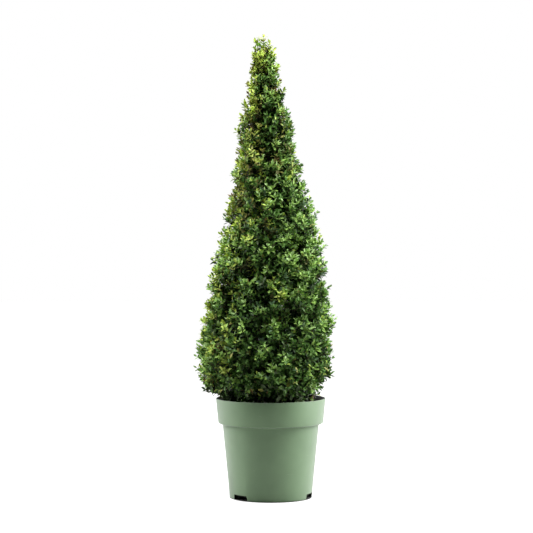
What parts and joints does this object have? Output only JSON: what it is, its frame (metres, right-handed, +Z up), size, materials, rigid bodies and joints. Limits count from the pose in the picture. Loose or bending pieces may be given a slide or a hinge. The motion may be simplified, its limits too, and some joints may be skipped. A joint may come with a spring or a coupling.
{
  "type": "boxwood cone topiary in a nursery pot",
  "caption": "Boxwood shrub clipped to a tall leafy cone, growing in a round green plastic nursery pot with a deep rim band.",
  "frame": {"origin": "middle of the pot's flat underside, on the surface the pot stands on", "axes": "+Z up along the pot's axis, -Y towards the front of the picture, +X to its right"},
  "size_m": [0.411, 0.4069, 1.2595],
  "materials": {
    "pot_plastic": "sage green moulded plastic with a soft sheen, black inside",
    "soil": "dark crumbly peat",
    "bark": "fine fissured grey-tan bark",
    "foliage": "small glossy evergreen leaves, dark green with yellow-green young tips"
  },
  "bodies": {
    "root": {"pot": "pot_plastic", "soil": "soil", "trunk": "bark", "side_stem_1": "bark", "side_stem_2": "bark", "side_stem_3": "bark", "side_stem_4": "bark", "side_stem_5": "bark", "foliage_skirt": "foliage", "foliage_lower": "foliage", "foliage_upper": "foliage", "foliage_tip": "foliage"}
  },
  "joints": []
}
